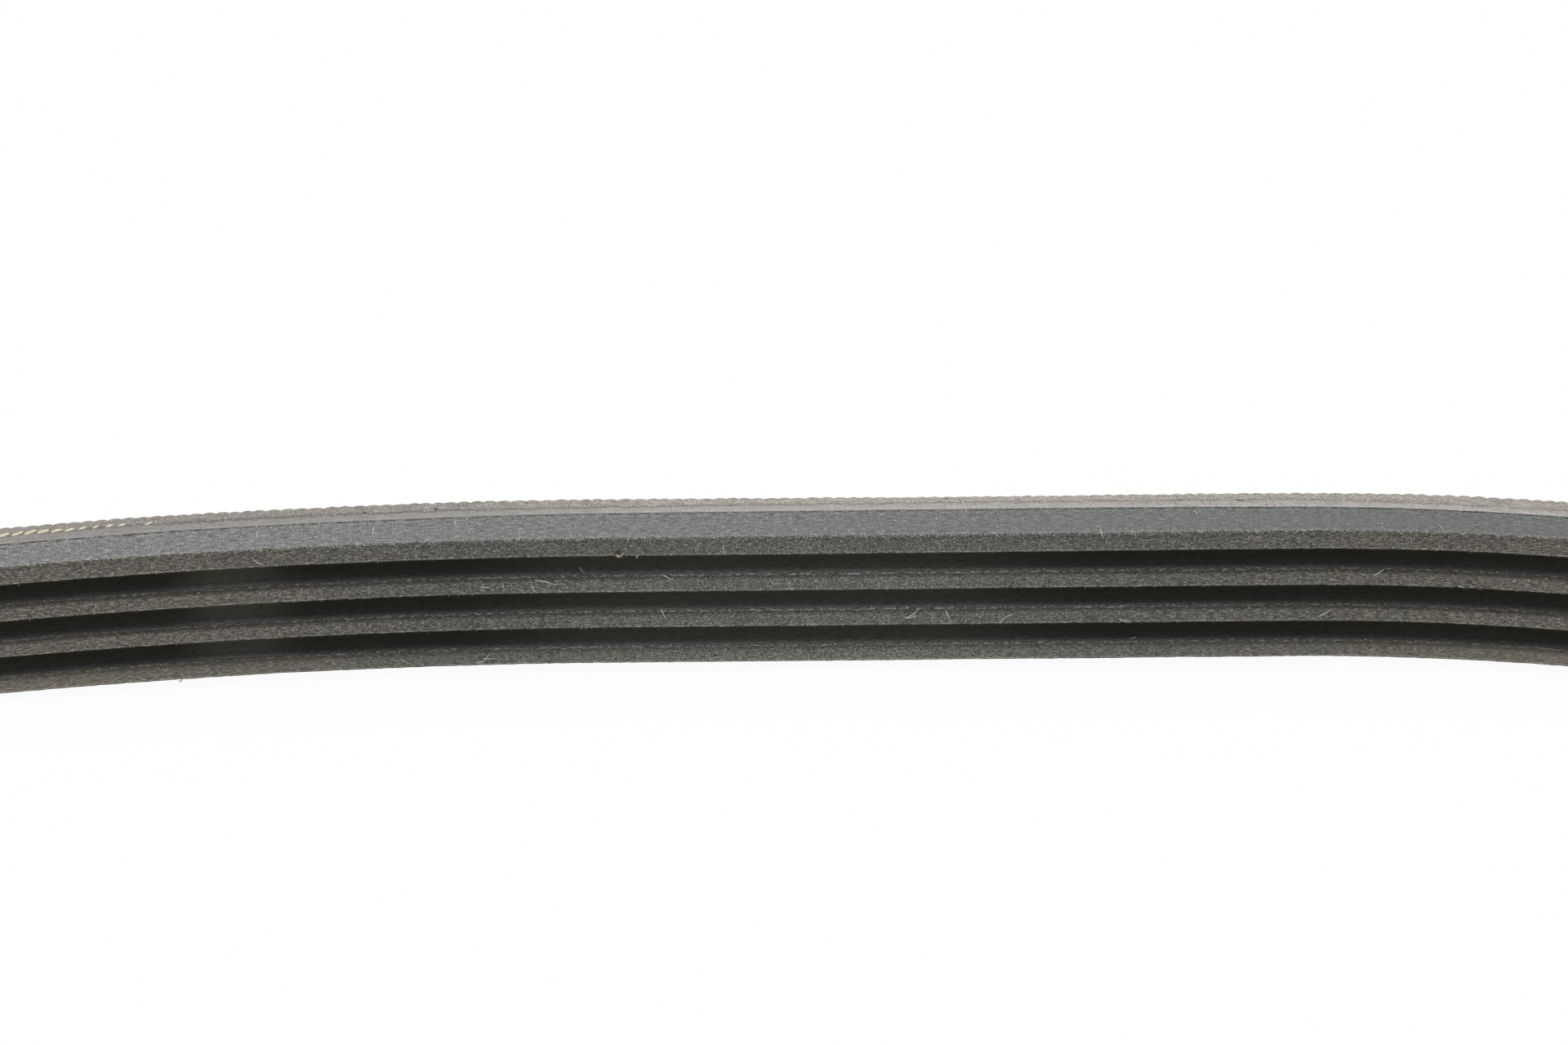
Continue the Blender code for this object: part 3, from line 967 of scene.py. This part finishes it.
class Surface(Nodes):
    """A material of the belt's own, with its patterns and its finish."""

    def __init__(self, name, roughness, specular):
        super().__init__(bpy.data.materials.new(name))
        self.shader = self.tree.nodes["Principled BSDF"]
        self.feed(self.shader.inputs["Roughness"], roughness)
        self.feed(self.shader.inputs["Specular IOR Level"], specular)
        self.place = self.add("TexCoord").outputs["Object"]

    def belt_map(self):
        """Millimetres along the belt and round its section."""
        return self.add("UVMap", uv_map="belt").outputs["UV"]

    def belt_mm(self):
        """The belt map's two numbers."""
        parts = self.add("SeparateXYZ", {0: self.belt_map()}).outputs
        return parts[0], parts[1]

    def stretched(self, along, across):
        """Belt map coordinates with this many cells a millimetre each way."""
        sizes = {0: self.belt_map(), 1: (along, across, 1.0)}
        return self.add("VectorMath", sizes, operation="MULTIPLY").outputs[0]

    def cells(self, per_mm):
        """Coordinates in space with this many cells a millimetre."""
        size = per_mm / MM
        sizes = {0: self.place, 1: (size, size, size)}
        return self.add("VectorMath", sizes, operation="MULTIPLY").outputs[0]

    def noise(self, vector, detail=2.0, roughness=0.5, dimensions="3D"):
        """Soft noise with cells of unit size."""
        inputs = {"Vector": vector, "Scale": 1.0, "Detail": detail, "Roughness": roughness}
        return self.add("TexNoise", inputs, noise_dimensions=dimensions).outputs[0]

    def grain(self, per_mm, detail=2.0, roughness=0.5):
        """Soft noise in space, with this many cells a millimetre."""
        return self.noise(self.cells(per_mm), detail, roughness)

    def streaks(self, along, across, detail=2.0, roughness=0.6):
        """Soft noise on the belt map, with this many cells a millimetre each way."""
        return self.noise(self.stretched(along, across), detail, roughness, "2D")

    def specks(self, vector, size, share, dimensions="3D"):
        """1 inside small blobs in a share of the cells, and 0 outside them."""
        inputs = {"Vector": vector, "Scale": 1.0}
        node = self.add("TexVoronoi", inputs, voronoi_dimensions=dimensions)
        inside = self.rise(node.outputs["Distance"], size, size * 0.5)
        pick = self.add("SeparateColor", {0: node.outputs["Color"]}).outputs[0]
        return self.times(inside, self.math("LESS_THAN", pick, share))

    def flat_specks(self, along, across, size, share):
        """Specks on the belt map, with this many cells a millimetre each way."""
        return self.specks(self.stretched(along, across), size, share, "2D")

    def rise(self, value, low, high):
        """0 at low, 1 at high and a smooth way between them."""
        inputs = {"Value": value, "From Min": low, "From Max": high}
        return self.add("MapRange", inputs, interpolation_type="SMOOTHSTEP").outputs[0]

    def function(self, operation, value):
        """A function of one number."""
        return self.add("Math", {0: value}, operation=operation).outputs[0]

    def from_one(self, share, amount):
        """A factor that goes from 1 by an amount, up or down, as a share goes from 0 to 1."""
        return self.plus(self.times(share, amount), 1.0)

    def drift(self, amount, swings=3):
        """A factor about 1 that swings slowly, this many times round the loop."""
        turn = 2 * math.pi * swings / (LOOP_LINE / MM)
        along = self.minus(self.belt_mm()[0], DRIFT_START)
        wave = self.function("COSINE", self.times(along, turn))
        return self.from_one(wave, amount)

    def near(self, mark, reach, full):
        """1 within full of a mark along the belt and 0 out of reach of it, in millimetres."""
        away = self.function("ABSOLUTE", self.minus(self.belt_mm()[0], mark))
        return self.rise(away, reach, full)

    def mid_strand(self):
        """1 in the middle of the strand that the camera sees, and 0 towards its ends."""
        swing = self.minus(2.0, self.drift(1.0, 6))
        half = self.times(swing, 0.5)
        return self.times(half, half)

    def vary(self, noise, amount, strength=1.0):
        """A factor about 1, from noise: 1 + amount where it is strong, 1 over that where weak."""
        inputs = {0: noise, 1: 0.3, 2: 0.7, 3: -1.0, 4: 1.0}
        swing = self.add("MapRange", inputs, clamp=False).outputs[0]
        return self.math("POWER", 1.0 + amount, self.times(swing, strength))

    def shade(self, colour, *factors):
        """A colour times factors."""
        colour = colour[:3] if isinstance(colour, tuple) else colour
        inputs = {0: colour, "Scale": self.times(*factors)}
        return self.add("VectorMath", inputs, operation="SCALE").outputs[0]

    def mix(self, share, first, second):
        """Two colours mixed."""
        inputs = {0: share, 6: first, 7: second}
        return self.add("Mix", inputs, data_type="RGBA").outputs[2]

    def finish(self, colour, height, depth_mm):
        """Gives the surface its colour and its fine relief."""
        self.feed(self.shader.inputs["Base Color"], colour)
        bump = self.add("Bump", {"Height": height, "Distance": depth_mm * MM})
        self.feed(self.shader.inputs["Normal"], bump.outputs[0])
        return self.owner


def rib_round(edges):
    """The way round the section from one tip to the next, in millimetres."""
    return (edges[2][0] - edges[1][0]) / MM


def rib_places(s, edges):
    """How far a point lies past the lower and upper edges of its tip, in millimetres."""
    low, high = edges[1]
    past_low = s.math("FLOORED_MODULO", s.minus(s.belt_mm()[1], low / MM), rib_round(edges))
    return past_low, s.minus(past_low, (high - low) / MM)


def corner_highlight_dashes(s, past_high):
    """A broken line of painted highlights along the upper corner of a tip."""
    wander = s.vary(s.streaks(0.7, 0.0), 0.07)
    place = s.plus(past_high, s.minus(wander, 1.0))
    near = s.rise(s.function("ABSOLUTE", place), 0.1, 0.03)
    broken = s.rise(s.streaks(1.9, 5.0, 3.0), 0.5, 0.62)
    strength = s.plus(0.2, s.times(s.mid_strand(), 0.42))
    return s.times(near, broken, strength)


def tip_material(edges):
    """Ground rib tips: brown-grey felt of short fibres that lie mostly along the belt."""
    s = Surface("rib_tip_rubber", 0.85, 0.2)
    past_low, past_high = rib_places(s, edges)
    v = s.belt_mm()[1]
    middle = s.mid_strand()
    sides = s.minus(1.0, middle)
    fine = s.grain(8.0, 2.0, 0.6)
    felt = s.streaks(1.9, 8.5, 3.0)
    lowest = s.math("LESS_THAN", v, edges[0][1] / MM)
    topmost = s.math("GREATER_THAN", v, edges[-1][0] / MM)
    lower = s.minus(1.0, topmost)
    # dim marks a band under each tip's upper corner, which gets a painted shadow.
    dim = s.rise(past_high, -0.62, -0.15)
    calm = s.times(s.from_one(s.times(lowest, sides), -0.3), s.from_one(s.drift(1.0, 6), -0.07))
    calm = s.times(calm, s.from_one(s.times(dim, sides, lower), -0.4))
    # The painted shadow's strength: darkest at the strand's ends, weaker on the lowest tip and
    # faint on the top one.
    shade = s.plus(-0.66, s.times(middle, 0.16))
    shade = s.times(shade, s.from_one(topmost, -0.72), s.from_one(lowest, -0.3))
    shadow = s.from_one(dim, shade)
    # Painted light from the floor: a paler band along each tip's lower edge, a painted highlight
    # on the edge itself and more painted light up the lowest tip.
    lit = s.from_one(s.rise(past_low, 0.26, 0.02), 0.22)
    edge_highlight = s.from_one(s.rise(past_low, 0.09, 0.03), 0.6)
    floor_lit = s.from_one(s.times(s.rise(past_low, 1.4, 0.1), lowest), 0.5)
    grain = s.plus(0.5, s.times(middle, 0.75))
    factors = [
        s.vary(fine, 1.1, s.times(calm, grain)),
        s.vary(felt, 1.3, s.times(calm, s.from_one(middle, -0.6))),
        s.vary(s.grain(1.0, 2.0), 0.07),
        s.from_one(s.times(middle, lower), 0.08),
        s.drift(0.045, 12),
        shadow,
        lit,
        edge_highlight,
        floor_lit,
    ]
    hue = s.rise(s.streaks(0.8, 2.5, 3.0, 0.7), 0.36, 0.64)
    grey = s.shade(s.mix(hue, tone(111, 112, 105), tone(113, 112, 104)), *factors)
    brown = s.shade(s.mix(hue, tone(118, 115, 107), tone(122, 115, 106)), *factors)
    rusty = s.plus(s.drift(0.5, 6), s.grain(0.35, 2.0))
    colour = s.mix(s.rise(rusty, 1.3, 1.9), grey, brown)
    pits = s.times(s.flat_specks(6.5, 9.0, 0.45, 0.2), calm, 0.4)
    colour = s.mix(pits, colour, tone(62, 62, 57))
    pins = s.times(s.flat_specks(4.4, 10.0, 0.45, 0.14), calm)
    # Fewer pale pins inside the painted shadow.
    pins = s.times(pins, s.from_one(s.times(dim, lower), -0.8))
    colour = s.mix(pins, colour, tone(196, 195, 186))
    # Painted highlights along the upper corners of all but the top tip.
    dashes = s.times(corner_highlight_dashes(s, past_high), lower)
    colour = s.mix(dashes, colour, tone(*CORNER_HIGHLIGHT_TONE))
    height = s.plus(s.times(felt, 0.5), s.times(fine, 0.5))
    return s.finish(colour, height, 0.08)


def flank_material(edges):
    """The cut flanks at both edges: grey, finely streaked, with a pale frayed rim."""
    s = Surface("rib_flank_rubber", 0.75, 0.25)
    v = s.belt_mm()[1]
    past_top = s.minus(v, edges[-1][1] / MM)
    from_rim = s.math("MAXIMUM", past_top, s.minus(edges[0][0] / MM, v))
    fine = s.grain(8.5, 2.0, 0.6)
    streaks = s.streaks(1.2, 8.0, 3.0)
    contrast = s.drift(0.3)
    # Darker blotches on the flank near the line where it meets the cushion.
    dark_blotches = s.rise(s.streaks(2.2, 5.0, 3.0, 0.65), 0.5, 0.62)
    dark_blotches = s.times(dark_blotches, s.rise(from_rim, 1.6, 2.5))
    broken = s.rise(s.streaks(1.6, 0.6, 3.0), 0.4, 0.52)
    broken = s.times(broken, s.from_one(s.mid_strand(), -0.4))
    # A dark line where the flank meets the cushion: the plies' joint, darkened further as painted
    # shade in the crease there. Beside it on the flank, a painted highlight.
    joint_and_crease_shade = s.times(s.rise(from_rim, 2.5, 2.57), broken)
    edge_highlight = s.times(s.rise(from_rim, 2.15, 2.3), s.rise(from_rim, 2.5, 2.42), contrast)
    frayed = s.rise(from_rim, 0.5, 0.1)
    factors = [
        s.vary(fine, 0.5, contrast),
        s.vary(streaks, 0.42, contrast),
        s.from_one(dark_blotches, -0.35),
        s.from_one(joint_and_crease_shade, -0.8),
        s.from_one(edge_highlight, 0.1),
        s.from_one(frayed, 0.14),
        s.drift(0.155),
    ]
    hue = s.rise(s.streaks(0.7, 2.5, 3.0, 0.7), 0.36, 0.64)
    colour = s.shade(s.mix(hue, tone(113, 115, 115), tone(115, 115, 113)), *factors)
    flecks = s.flat_specks(5.5, 8.5, 0.45, 0.35)
    flecks = s.times(flecks, s.from_one(frayed, 4.0))
    colour = s.mix(s.times(flecks, 0.13), colour, tone(196, 202, 205))
    pins = s.flat_specks(4.0, 6.0, 0.26, 0.022)
    colour = s.mix(s.times(pins, 0.6), colour, tone(214, 218, 220))
    height = s.plus(s.times(streaks, 0.4), s.times(fine, 0.6))
    return s.finish(colour, height, 0.06)


def groove_material(edges):
    """The grooves: the ribs' rubber, moulded smooth, with painted shade on their walls that turns
    to painted light beside the tips.
    """
    s = Surface("rib_groove_rubber", 0.85, 0.1)
    past_low, past_high = rib_places(s, edges)
    from_rim = s.math("MINIMUM", past_high, s.minus(rib_round(edges), past_low))
    grain = s.streaks(1.5, 6.0)
    middle = s.near(*MIDDLE_GROOVES)
    lit = s.near(*LIT_GROOVES)
    deep = s.mix(middle, tone(109, 108, 101), tone(129, 133, 119))
    deep = s.shade(deep, s.vary(grain, 0.12), s.from_one(lit, 0.85))
    # The walls, painted darker than the rubber as shade, grow paler towards the tips' edges as
    # painted light that reaches into the groove.
    shaded_wall = s.shade(tone(61, 62, 61), s.vary(grain, 0.3), s.from_one(middle, 0.8))
    lit_near_rim = s.shade(tone(71, 73, 72), s.vary(grain, 0.4), s.from_one(s.mid_strand(), 1.7))
    shaded_wall = s.mix(s.rise(from_rim, 0.4, 0.0), shaded_wall, lit_near_rim)
    shaded_wall = s.shade(shaded_wall, s.from_one(lit, 0.8))
    colour = s.mix(s.rise(from_rim, 0.6, 1.1), shaded_wall, deep)
    # Painted highlights along the tips' upper corners, where they meet the grooves.
    colour = s.mix(corner_highlight_dashes(s, past_high), colour, tone(*CORNER_HIGHLIGHT_TONE))
    return s.finish(colour, grain, 0.03)


def edge_depth(s, thickness):
    """Depth into a ply's cut edges from its inner face, in millimetres."""
    half_width = BELT_WIDTH / MM / 2
    v = s.belt_mm()[1]
    from_middle = s.minus(v, thickness / MM + half_width)
    return s.minus(s.function("ABSOLUTE", from_middle), half_width)


def nicks(s, depth):
    """How dark the cut edge's nicks are, where depth runs from the cushion's inner face."""
    u = s.belt_mm()[0]
    ragged = s.grain(4.0, 2.0, 0.6)
    inside = 0.0
    for mark, nick_depth, half_length, half_width, darkness in NICKS:
        across = s.minus(depth, nick_depth - RIB_RUBBER / MM)
        across = s.math("POWER", s.math("DIVIDE", across, half_width), 2.0)
        along = s.math("DIVIDE", s.minus(u, mark), half_length)
        along = s.math("POWER", along, 2.0)
        near = s.rise(s.plus(across, along, ragged), 1.6, 0.7)
        inside = s.math("MAXIMUM", inside, s.times(near, darkness))
    return inside


def scuffs(s, depth):
    """1 on slanting scratches across one stretch of the cut edge."""
    u = s.belt_mm()[0]
    slant = s.plus(u, s.times(depth, 0.54))
    across = s.times(slant, 3.2)
    places = s.add("CombineXYZ", {0: across, 1: s.times(depth, 0.7)})
    lines = s.rise(s.noise(places.outputs[0], 1.0, 0.5, "2D"), 0.6, 0.68)
    lines = s.times(lines, s.rise(s.streaks(0.8, 2.0), 0.4, 0.55))
    return s.times(lines, s.near(*SCUFFS))


def cut_edge(name, thickness, inner):
    """The cut edge of the two outer plies: warm grey, speckled outside and smooth inside."""
    s = Surface(name, 0.8, 0.2)
    depth = s.plus(edge_depth(s, thickness), inner / MM)
    fine = s.grain(5.5, 3.0, 0.65)
    outer = s.rise(depth, 0.5, 0.85)
    worn = s.math("MAXIMUM", *(s.near(*stretch) for stretch in WORN_EDGES))
    worn = s.times(outer, worn, 0.4)
    strength = s.minus(1.0, worn)
    speckle = s.mix(outer, s.vary(fine, 0.3), s.vary(fine, 0.6, strength))
    wander = s.plus(depth, s.times(s.streaks(0.55, 0.0), 0.4))
    dip = s.times(s.rise(wander, 0.85, 1.05), s.rise(wander, 1.45, 1.1))
    factors = [
        s.add("SeparateColor", {0: speckle}).outputs[0],
        s.vary(s.streaks(0.6, 6.0, 3.0), 0.18),
        s.from_one(s.times(dip, s.drift(0.35)), -0.25),
        # A painted highlight along the cushion's edge next to the ribs.
        s.from_one(s.rise(depth, 0.35, 0.1), 0.1),
        s.from_one(scuffs(s, depth), -0.3),
        s.drift(-0.08),
        s.drift(-0.08, 6),
        s.from_one(s.near(*DULL_EDGE), -0.1),
    ]
    right = s.from_one(s.near(*PALE_RIGHT_EDGE), 0.1)
    left = s.from_one(s.near(*DULL_LEFT_EDGE), -0.07)
    smooth = s.shade(tone(158, 154, 151), *factors, right, left)
    colour = s.mix(outer, smooth, s.shade(tone(156, 150, 144), *factors))
    pits = s.times(s.specks(s.cells(4.8), 0.4, 0.22), outer, strength)
    pits = s.times(pits, s.plus(0.42, s.times(s.mid_strand(), 0.25)))
    colour = s.mix(pits, colour, tone(92, 84, 76))
    pins = s.times(s.specks(s.cells(5.4), 0.4, 0.22), outer, strength)
    colour = s.mix(s.times(pins, 0.6), colour, tone(216, 212, 205))
    colour = s.mix(nicks(s, depth), colour, tone(40, 35, 32))
    return s.finish(colour, fine, 0.04)


def back_material():
    """The fabric on the back: a worn plain weave in the rubber, over the moulded ripples."""
    s = Surface("back_fabric", 0.85, 0.2)
    u, v = s.belt_mm()
    fine = s.grain(5.0, 3.0, 0.6)
    soft = s.grain(0.4, 2.0)
    threads = []
    for distance, pitch in ((u, RIPPLE / MM / 2), (v, 0.52)):
        turn = s.times(distance, 2 * math.pi / pitch)
        threads.append(s.function("SINE", turn))
    weave = s.times(*threads)
    height = s.plus(s.times(weave, 0.25), fine)
    woven = s.plus(1.0, s.times(weave, 0.1))
    colour = s.shade(tone(92, 88, 84), s.vary(fine, 0.25), s.vary(soft, 0.15), woven)
    return s.finish(colour, height, 0.09)


def cord_material():
    """Pale twisted yarn, yellowest where the cut has bared it most."""
    s = Surface("cord_yarn", 0.6, 0.3)
    fine = s.vary(s.grain(8.0, 2.0, 0.6), 0.2)
    yellow = s.near(*YELLOW_CORD)
    pale = s.shade(tone(220, 214, 197), fine)
    colour = s.mix(yellow, pale, s.shade(tone(219, 210, 180), fine))
    return s.finish(colour, s.grain(8.0, 2.0, 0.6), 0.04)


def fibre_material(name, dark, pale):
    """Short textile fibres, each of its own paleness."""
    s = Surface(name, 0.7, 0.2)
    strand = s.add("UVMap", uv_map="strand").outputs["UV"]
    share = s.add("SeparateXYZ", {0: strand}).outputs[0]
    return s.finish(s.mix(share, dark, pale), s.grain(7.0, 1.0), 0.01)


def crumb_materials():
    """A chip's tan, dark-flecked skin, its broken cream face and its underside painted dark as
    shade.
    """
    s = Surface("crumb_skin", 0.7, 0.2)
    patches = s.grain(6.0, 2.0)
    skin = s.mix(s.rise(patches, 0.58, 0.44), tone(142, 128, 100), tone(66, 60, 42))
    broken = debris_material("crumb_cream", tone(214, 196, 168))
    # Painted shade for the chip's underside.
    dark = debris_material("crumb_dark", tone(84, 58, 34))
    return [s.finish(skin, patches, 0.04), broken, dark]


def debris_material(name, colour):
    """Lint or a crumb, paler and darker from place to place."""
    s = Surface(name, 0.7, 0.2)
    patches = s.grain(2.5, 2.0)
    return s.finish(s.shade(colour, s.vary(patches, 0.3)), patches, 0.02)


# The studio


def floor_material():
    """A white floor that shows the camera an even white with the belt's soft shadow."""
    n = Nodes(bpy.data.materials.new("floor_white"))
    shader = n.tree.nodes["Principled BSDF"]
    n.feed(shader.inputs["Base Color"], FLOOR_COLOUR)
    n.feed(shader.inputs["Roughness"], 1.0)
    n.feed(shader.inputs["Specular IOR Level"], 0.0)
    n.show(n.times(n.unlit_rays(), FLOOR_GLOW), shader, n.add("Emission"), "Material Output")
    return n.owner


def make_floor():
    """The floor that the belt stands on."""
    mesh = bpy.data.meshes.new("floor")
    ways = [(-1, -1), (1, -1), (1, 1), (-1, 1)]
    corners = [(FLOOR_REACH * x, FLOOR_REACH * y, 0) for x, y in ways]
    mesh.from_pydata(corners, [], [(0, 1, 2, 3)])
    mesh.materials.append(floor_material())
    in_scene("floor", mesh)


def make_world():
    """Dim light from all round, behind a white that only the camera and gloss see."""
    n = Nodes(bpy.data.worlds.new("studio"))
    bpy.context.scene.world = n.owner
    dim = n.tree.nodes["Background"]
    n.feed(dim.inputs["Color"], WHITE)
    n.feed(dim.inputs["Strength"], WORLD_LEVEL)
    n.show(n.unlit_rays(), dim, n.add("Background", {"Color": WHITE}), "World Output")


def make_light():
    """One large, square, soft light above the belt."""
    data = bpy.data.lights.new("softbox", "AREA")
    data.size = SOFTBOX_SIZE
    data.energy = SOFTBOX_POWER
    light = in_scene("softbox", data)
    light.location = SOFTBOX_PLACE
    aim = Vector(SOFTBOX_AIM) - Vector(SOFTBOX_PLACE)
    light.rotation_euler = aim.to_track_quat("-Z", "Y").to_euler()


def make_camera():
    """The photograph's view, down on the ribs of the far strand."""
    data = bpy.data.cameras.new("camera")
    data.lens = LENS
    data.sensor_width = SENSOR
    data.clip_start = NEAREST
    camera = in_scene("camera", data)
    turn = Matrix.Rotation(CAMERA_TURN, 3, "Z")
    tilt = Matrix.Rotation(math.pi / 2 - CAMERA_DOWN, 3, "X")
    roll = Matrix.Rotation(CAMERA_ROLL, 3, "Z")
    camera.matrix_world = Matrix.Translation(CAMERA_PLACE) @ (turn @ tilt @ roll).to_4x4()
    bpy.context.scene.camera = camera


def make_studio():
    """Floor, light and camera."""
    make_floor()
    make_world()
    make_light()
    make_camera()
    bpy.context.scene.view_settings.view_transform = "Standard"


make_studio()
rib_outline, rib_zones = rib_section()
rib_edges = tip_edges(rib_outline)
rib_materials = [tip_material(rib_edges), groove_material(rib_edges), flank_material(rib_edges)]
make_ribs(rib_outline, rib_zones, rib_materials)
make_cushion([cut_edge("cushion_cut_rubber", CUSHION, 0.0)])
make_back([cut_edge("back_cut_edge", BACK_COVER, CUSHION), back_material()])
make_cord(cord_material())
felt = fibre_material("felt_fibre", tone(84, 82, 74), tone(226, 224, 214))
fray = fibre_material("frayed_fibre", tone(100, 103, 102), tone(216, 219, 217))
fibres("tip_felt", rib_outline, felt_hairs(rib_edges), felt)
fibres("rim_fray", rib_outline, rim_hairs(rib_edges), fray)
lint = fibre_material("lint", tone(96, 96, 90), tone(228, 225, 214))
make_threads("lint_hairs", HAIRS, HAIR_RADIUS, lint)
make_crumb(crumb_materials(), debris_material("crumb_fibre", tone(196, 190, 176)))
orange = debris_material("orange_speck", tone(216, 122, 84))
make_threads("orange_fibre", [(1.0, ORANGE_FIBRE)], ORANGE_RADIUS, orange)
